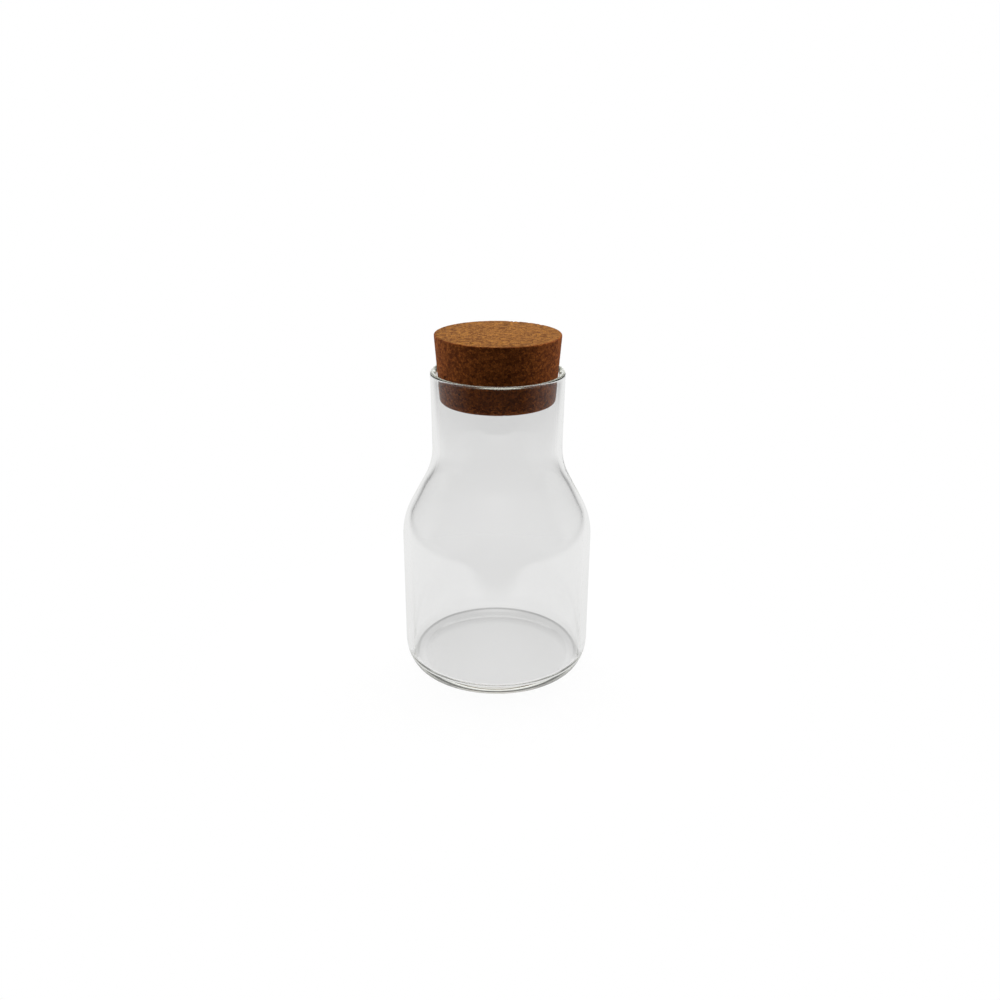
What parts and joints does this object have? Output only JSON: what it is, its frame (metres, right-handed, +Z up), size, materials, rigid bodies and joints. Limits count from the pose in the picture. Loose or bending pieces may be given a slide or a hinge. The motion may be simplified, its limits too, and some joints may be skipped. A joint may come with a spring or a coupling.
{
  "type": "corked glass bottle",
  "caption": "Clear glass bottle with a straight round body, conical shoulder and wide neck, closed by a tapered cork stopper that pulls out of the mouth.",
  "frame": {"origin": "centre of the base, on the surface that the bottle stands on", "axes": "+Z up along the bottle's axis, from the base to the stopper; +X and +Y across it, alike because the bottle is round"},
  "size_m": [0.09, 0.09, 0.1624],
  "materials": {
    "glass": "clear, fire-polished, with a faint grey-green tint at the edges",
    "cork": "matte, pressed from fine cork granules"
  },
  "bodies": {
    "bottle": {"glass_bottle": "glass"},
    "stopper": {"cork_stopper": "cork"}
  },
  "joints": [
    {"name": "stopper_pull", "type": "slide", "parent": "bottle", "child": "stopper", "axis": [0, 0, 1], "range_m": [0, 0.045]}
  ]
}
